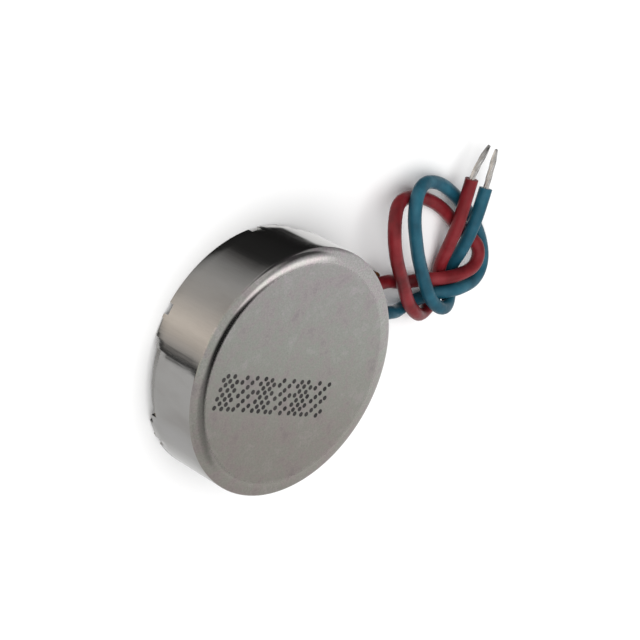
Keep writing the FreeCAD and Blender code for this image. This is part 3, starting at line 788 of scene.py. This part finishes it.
def satin_finish():
    """Satin nickel with painted shade, darker and browner towards one side and lighter towards the other;
    cloudy and flecked, and rubbed smooth where the edge starts.
    """
    made, tree, shader = new_material("satin_nickel", 1.0, 0.34)
    place = tree.nodes.new("ShaderNodeTexCoord").outputs["Object"]
    towards_painted_light = worked_out(tree, "ShaderNodeVectorMath", "DOT_PRODUCT", place, (0.40, 0.92, 0.0))
    flat = worked_out(tree, "ShaderNodeVectorMath", "MULTIPLY", place, (1.0, 1.0, 0.0))
    from_axis = worked_out(tree, "ShaderNodeVectorMath", "LENGTH", flat)
    edge_start = can_radius - edge_width
    rub_low, rub_high = edge_start - rub_before_edge, edge_start + rub_over_edge
    rubbed = span(tree, from_axis, rub_low, rub_high, "SMOOTHSTEP")

    shade_and_mottle = multiplied(tree)
    # Painted light and shade: the face's colour runs from darker and browner on one side to brighter on the
    # other, standing in for how the light falls across it.
    tones(
        tree,
        span(tree, towards_painted_light, -can_radius, can_radius),
        [
            (0.0, (0.79, 0.74, 0.70)), (0.25, (0.84, 0.79, 0.755)),
            (0.60, (0.97, 0.97, 0.94)), (1.0, (1.06, 1.01, 1.05)),
        ],
        shade_and_mottle.inputs["A"],
    )
    tones(
        tree,
        cloud(tree, 1100.0, 8.0, softness=0.72),
        [
            (0.32, (0.54, 0.50, 0.52)), (0.45, (0.645, 0.615, 0.61)),
            (0.53, (0.60, 0.625, 0.585)), (0.66, (0.71, 0.685, 0.69)),
        ],
        shade_and_mottle.inputs["B"],
    )
    fleck = multiplied(tree)
    tree.links.new(shade_and_mottle.outputs["Result"], fleck.inputs["A"])
    tones(
        tree,
        cloud(tree, 16000.0, 2.0),
        [(0.30, (0.90, 0.90, 0.90)), (0.70, (1.07, 1.07, 1.07))],
        fleck.inputs["B"],
    )
    tree.links.new(fleck.outputs["Result"], shader.inputs["Base Color"])

    gloss = tree.nodes.new("ShaderNodeMix")
    gloss.inputs["B"].default_value = rubbed_roughness
    tree.links.new(rubbed, gloss.inputs["Factor"])
    spread(tree, cloud(tree, 9000.0, 4.0), 0.28, 0.40, gloss.inputs["A"])
    tree.links.new(gloss.outputs["Result"], shader.inputs["Roughness"])

    unrubbed = worked_out(tree, "ShaderNodeMath", "SUBTRACT", 1.05, rubbed)
    blasted = cloud(tree, 9000.0, 6.0, softness=0.65)
    relief(tree, shader, worked_out(tree, "ShaderNodeMath", "MULTIPLY", blasted, unrubbed), 0.000004)
    return made


def drawn_finish(roughness):
    """Polish of drawn nickel, with faint lines up the wall."""
    made, tree, shader = new_material("drawn_nickel", 1.0, roughness)
    tones(
        tree,
        cloud(tree, 900.0, 4.0, stretch=(1.0, 1.0, 0.35)),
        [(0.30, (0.56, 0.54, 0.52)), (0.50, (0.63, 0.62, 0.60)), (0.70, (0.66, 0.65, 0.64))],
        shader.inputs["Base Color"],
    )
    lines = cloud(tree, 7000.0, 3.0, stretch=(1.0, 1.0, 0.12))
    spread(tree, lines, roughness * 0.75, roughness * 1.4, shader.inputs["Roughness"])
    relief(tree, shader, cloud(tree, 9000.0, 4.0, stretch=(1.0, 1.0, 0.10)), 0.0000015)
    return made


can.data.materials.append(satin_finish())
can.data.materials.append(drawn_finish(0.12))
centres = np.zeros(len(can.data.polygons) * 3)
can.data.polygons.foreach_get("center", centres)
under_edge = centres.reshape(-1, 3)[:, 2] < can_height - edge_drop
can.data.polygons.foreach_set("material_index", under_edge.astype(np.int32))

# ---------------------------------------------------------------------------------------------
# Printed mark. Small ink-jet dots on the can's face, in six groups of plain chequers and hatches
# that stand for the maker's code and spell nothing.
mark_middle = (-0.00112, -0.00045)
mark_turn = math.radians(-27.3)
group_count = 6
group_pitch = 0.00100
dot_columns = 5
dot_rows = 8
dot_pitch = 0.000180
dot_radius = 0.000100
dot_thickness = 0.000004
dot_sides = 10
dot_wander = 0.000010


def make_dots():
    """Low round pads, each a ring of points at r cos t, r sin t under a smaller ring.

    Dot i, j of group k is printed where i + j is even, or, in every other group, where i + 2j
    divides by three.
    """
    counts = (group_count, dot_columns, dot_rows)
    k, i, j = np.meshgrid(*(np.arange(count) for count in counts), indexing="ij")
    printed = np.where(k % 2 == 0, (i + j) % 2 == 0, (i + 2 * j) % 3 == 0)
    k, i, j = k[printed], i[printed], j[printed]
    wander = np.random.default_rng(5).normal(0, dot_wander, (2, len(k)))
    along_line = (k - (group_count - 1) / 2) * group_pitch
    along_line = along_line + (i - (dot_columns - 1) / 2) * dot_pitch + wander[0]
    up_line = (j - (dot_rows - 1) / 2) * dot_pitch + wander[1]
    x = mark_middle[0] + along_line * math.cos(mark_turn) - up_line * math.sin(mark_turn)
    y = mark_middle[1] + along_line * math.sin(mark_turn) + up_line * math.cos(mark_turn)
    t = np.linspace(0, 2 * np.pi, dot_sides, endpoint=False)
    ring = np.stack([np.cos(t), np.sin(t)], axis=1)
    levels = [(1.0, -0.000003), (1.0, dot_thickness * 0.5), (0.8, dot_thickness)]
    rings = np.stack([
        np.concatenate([ring * dot_radius * share, np.full((dot_sides, 1), can_height + height)], axis=1)
        for share, height in levels
    ])
    place = np.stack([x, y, np.zeros_like(x)], axis=1)
    points = place[:, None, None, :] + rings[None]
    start = np.arange(len(k))[:, None, None] * 3 * dot_sides
    around = np.arange(dot_sides)
    following = (around + 1) % dot_sides
    walls = np.stack([around, following, following + dot_sides, around + dot_sides], axis=1)
    walls = np.concatenate([walls, walls + dot_sides])
    quads = (start + walls[None]).reshape(-1, 4).tolist()
    lids = (start[:, 0] + np.arange(2 * dot_sides, 3 * dot_sides)[None]).tolist()
    bases = (start[:, 0] + np.arange(dot_sides - 1, -1, -1)[None]).tolist()
    return build_mesh("printed_mark", points, quads + lids + bases, 60.0)


ink = plain_finish("black_ink", 0.0, 0.55, (0.012, 0.011, 0.011), (0.040, 0.037, 0.036), 9000.0, 1e-6)
mark = make_dots()
mark.data.materials.append(ink)
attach(mark, "stator")

# ---------------------------------------------------------------------------------------------
# Bared cores. The stranded core of each lead comes out of its insulation, dips to the tail pad and
# is tinned there.
copper_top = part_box("copper_positive")[1].z
core_radius = 0.00013
core_inside_lead = 0.00010
core_reach = 0.00062
core_twists = 0.6
core_steps = 40


def smooth_step(share):
    """0 to 1 with level ends: 3s^2 - 2s^3."""
    share = np.clip(share, 0, 1)
    return share ** 2 * (3 - 2 * share)


for colour, route in (("red", red_route), ("blue", blue_route)):
    share = np.linspace(0, 1, core_steps)
    x = rim + route[0][0] + core_inside_lead - share * core_reach
    z = route[0][2] + (copper_top + core_radius - route[0][2]) * smooth_step((share - 0.15) / 0.5)
    core = make_strands(
        colour + "_bared_core",
        np.stack([x, np.full_like(x, route[0][1]), z], axis=1),
        core_radius,
        core_twists,
        np.ones((core_steps, 1)),
    )
    core.data.materials.append(tinned)
    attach(core, "stator")
    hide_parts(colour + "_core_end")

# ---------------------------------------------------------------------------------------------
# Solder joints. A mound of reflowed solder on each tail pad, wetted up round the core.
mound_sides = 72
solder_offset = 0.00046
solder_half = (0.00032, 0.00029)
solder_height = 0.00029


def make_mound(name, middle, half, base, height, squareness, waves, finish):
    """Closed low dome on a rounded rectangle.

    At a turn t the outline's radius is (|cos t / a|^n + |sin t / b|^n)^(-1/n), a and b being its
    halves and n its squareness. At a share s of it the height is (1 - s^4)^(1/2), and the surface
    swells and sinks with two crossed sines.
    """
    t = np.linspace(0, 2 * np.pi, mound_sides, endpoint=False)[None, :]
    s = np.sin(np.linspace(0, np.pi / 2, 22))[:, None]
    along_x = np.abs(np.cos(t) / half[0]) ** squareness
    along_y = np.abs(np.sin(t) / half[1]) ** squareness
    outline = (along_x + along_y) ** (-1 / squareness)
    x = middle[0] + s * outline * np.cos(t)
    y = middle[1] + s * outline * np.sin(t)
    ripple = 1 + waves * np.sin(x * 9000.0 + 1.0) * np.sin(y * 7000.0)
    z = base + height * np.sqrt(np.maximum(1 - s ** 4, 0)) * ripple
    top = np.stack([x, y, z], axis=-1)
    floor_ring = np.stack([x[::-1], y[::-1], np.full_like(x, base)], axis=-1)
    points = np.concatenate([top, floor_ring[1:]])
    made = build_mesh(name, points, grid_faces(len(points), mound_sides), 50.0)
    made.data.materials.append(finish)
    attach(made, "stator")
    return made


solder = plain_finish("reflowed_solder", 1.0, 0.20, (0.56, 0.56, 0.55), (0.76, 0.76, 0.75), 6000.0, 4e-6)
for colour, route in (("red", red_route), ("blue", blue_route)):
    middle = (rim + solder_offset, route[0][1])
    joint = make_mound(
        colour + "_solder_mound", middle, solder_half, copper_top, solder_height, 2.4, 0.0, solder
    )
    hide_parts(colour + "_solder_joint")

# ---------------------------------------------------------------------------------------------
# Glue. A mound of brown resin run round the joints and the ends of the insulation, with a glossy,
# uneven skin. It is lower at its sides, where solder and cores stand out of it.
glue_low, glue_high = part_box("glue_bead")
glue_swell = 0.00008
glue_crown = 1.10
amber_glue, glue_tree, glue_shader = new_material("amber_glue", 0.0, 0.16)
tones(
    glue_tree,
    cloud(glue_tree, 1800.0, 4.0),
    [(0.32, (0.050, 0.018, 0.008)), (0.68, (0.130, 0.052, 0.024))],
    glue_shader.inputs["Base Color"],
)
spread(glue_tree, cloud(glue_tree, 4000.0, 3.0), 0.10, 0.26, glue_shader.inputs["Roughness"])
relief(glue_tree, glue_shader, cloud(glue_tree, 2500.0, 3.0), 0.000015)
glue = make_mound(
    "glue_run",
    ((glue_low.x + glue_high.x) / 2 + glue_swell, 0.0),
    ((glue_high.x - glue_low.x) / 2 + glue_swell, glue_high.y),
    glue_low.z,
    (glue_high.z - glue_low.z) * glue_crown,
    4.5,
    0.06,
    amber_glue,
)
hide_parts("glue_bead")
